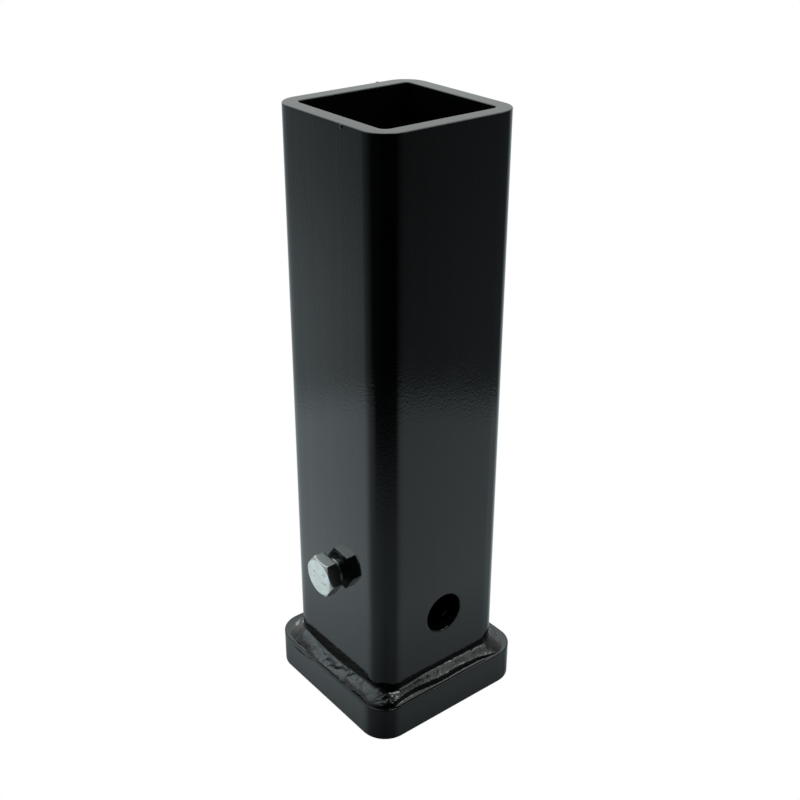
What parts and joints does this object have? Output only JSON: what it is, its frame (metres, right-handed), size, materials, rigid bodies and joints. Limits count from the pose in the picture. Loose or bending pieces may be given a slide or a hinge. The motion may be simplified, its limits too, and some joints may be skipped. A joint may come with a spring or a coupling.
{
  "type": "receiver tube",
  "caption": "Square steel receiver tube with a welded mouth collar, a cross hole for the hitch pin and a hexagon anti-rattle bolt through one wall.",
  "frame": {"origin": "centre of the mouth, in the plane of the collar's and the tube's end faces", "axes": "+Z along the tube from the mouth to the rear end, -X out of the wall that carries the anti-rattle bolt, Y along the hitch pin hole"},
  "size_m": [0.0783, 0.0762, 0.248],
  "materials": {
    "black_paint": "gloss black enamel over mild steel",
    "zinc_plate": "bright blue-white zinc plating"
  },
  "bodies": {
    "receiver": {"receiver_tube": "black_paint", "mouth_collar": "black_paint", "collar_weld": "black_paint"},
    "bolt": {"anti_rattle_bolt": "zinc_plate"}
  },
  "joints": [
    {"name": "bolt_advance", "type": "slide", "parent": "receiver", "child": "bolt", "axis": [1, 0, 0], "range_m": [-0.00755, 0.00205]}
  ]
}
